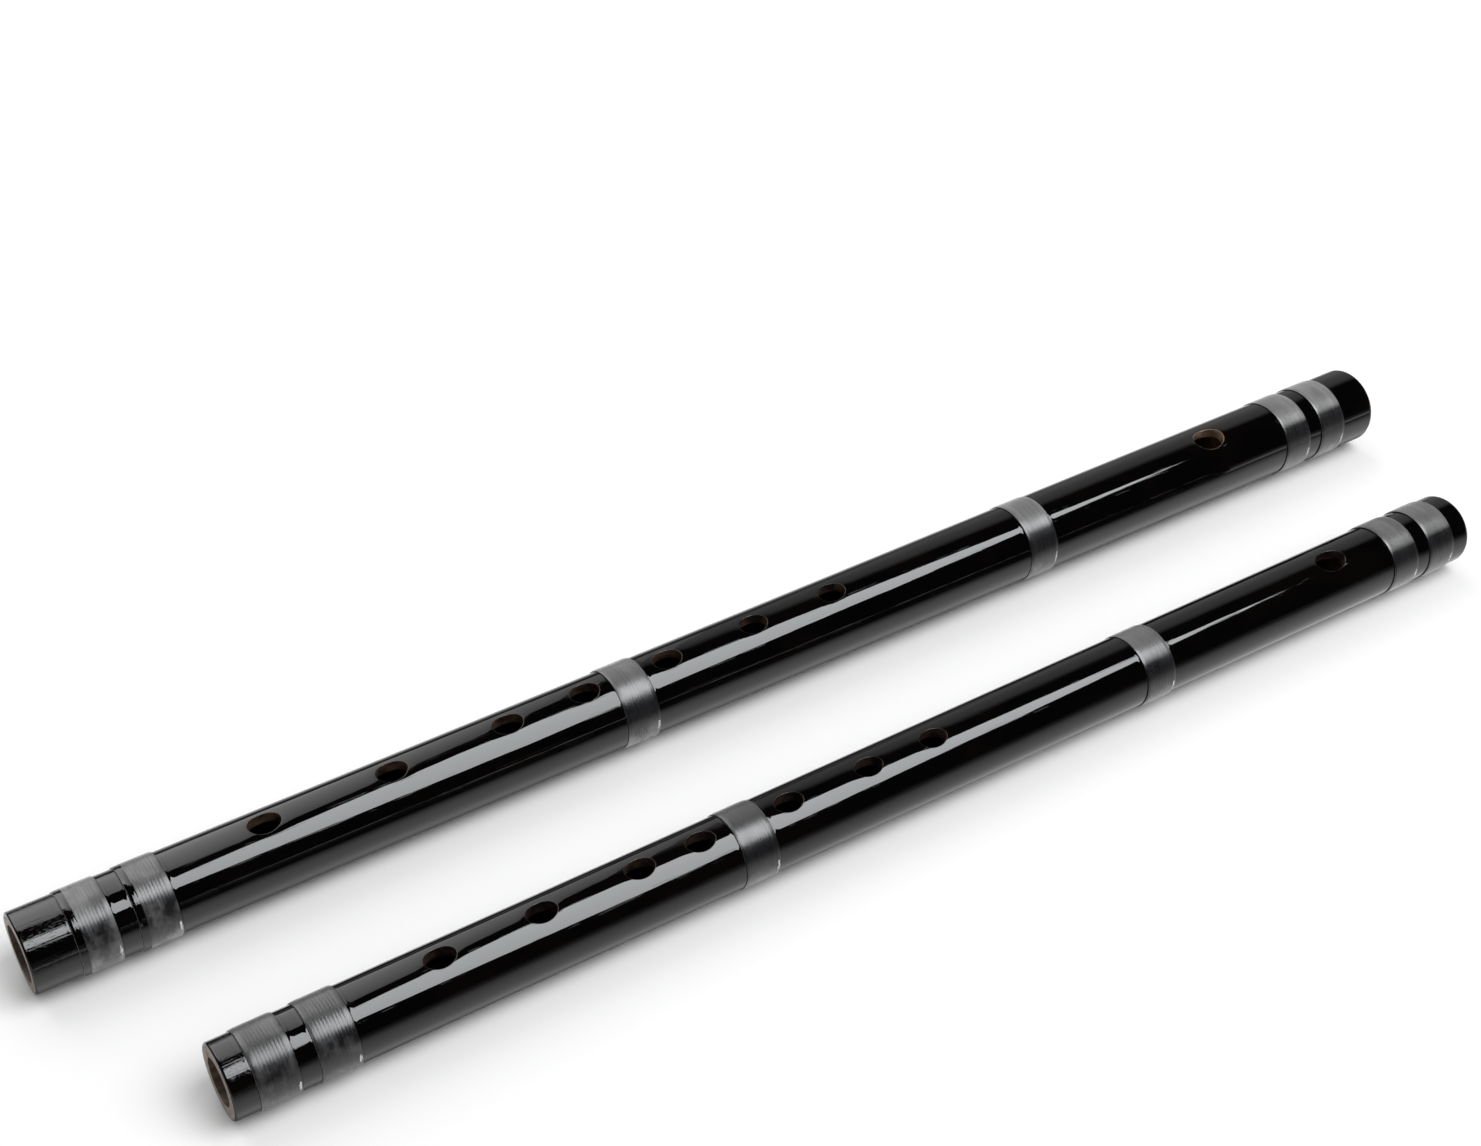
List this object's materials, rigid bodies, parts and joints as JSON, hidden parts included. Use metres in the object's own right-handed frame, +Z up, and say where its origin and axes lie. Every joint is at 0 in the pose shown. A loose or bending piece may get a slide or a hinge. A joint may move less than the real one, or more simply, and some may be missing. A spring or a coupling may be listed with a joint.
{
  "type": "shinobue",
  "caption": "Black lacquered side-blown bamboo flutes with bound bands, laid side by side, open at the foot and stopped at the head.",
  "frame": {"origin": "centre of the pair's box, on the surface that the flutes lie on", "axes": "+X along the long flute from foot to head, +Z up, the short flute on the -Y side"},
  "size_m": [0.392, 0.0778, 0.0216],
  "materials": {
    "long_lacquer": "bamboo under many coats of black lacquer, polished to a mirror gloss",
    "short_lacquer": "bamboo under many coats of black lacquer, polished to a mirror gloss",
    "long_binding": "fine thread wound turn against turn, set in lacquer and rubbed matt",
    "short_binding": "fine thread wound turn against turn, set in lacquer and rubbed matt",
    "stopper_wax": "waxy, slightly rough",
    "head_plug": "wooden plug under black lacquer"
  },
  "bodies": {
    "long_flute": {"long_tube": "long_lacquer", "long_foot_outer_binding": "long_binding", "long_foot_inner_binding": "long_binding", "long_middle_binding": "long_binding", "long_upper_binding": "long_binding", "long_head_inner_binding": "long_binding", "long_head_outer_binding": "long_binding", "long_bore_stopper": "stopper_wax", "long_head_plug": "head_plug"},
    "short_flute": {"short_tube": "short_lacquer", "short_foot_outer_binding": "short_binding", "short_foot_inner_binding": "short_binding", "short_middle_binding": "short_binding", "short_upper_binding": "short_binding", "short_head_inner_binding": "short_binding", "short_head_outer_binding": "short_binding", "short_bore_stopper": "stopper_wax", "short_head_plug": "head_plug"}
  },
  "joints": [
    {"name": "short_flute_lift", "type": "slide", "parent": "long_flute", "child": "short_flute", "axis": [0, 0, 1], "range_m": [0, 0.15]}
  ]
}
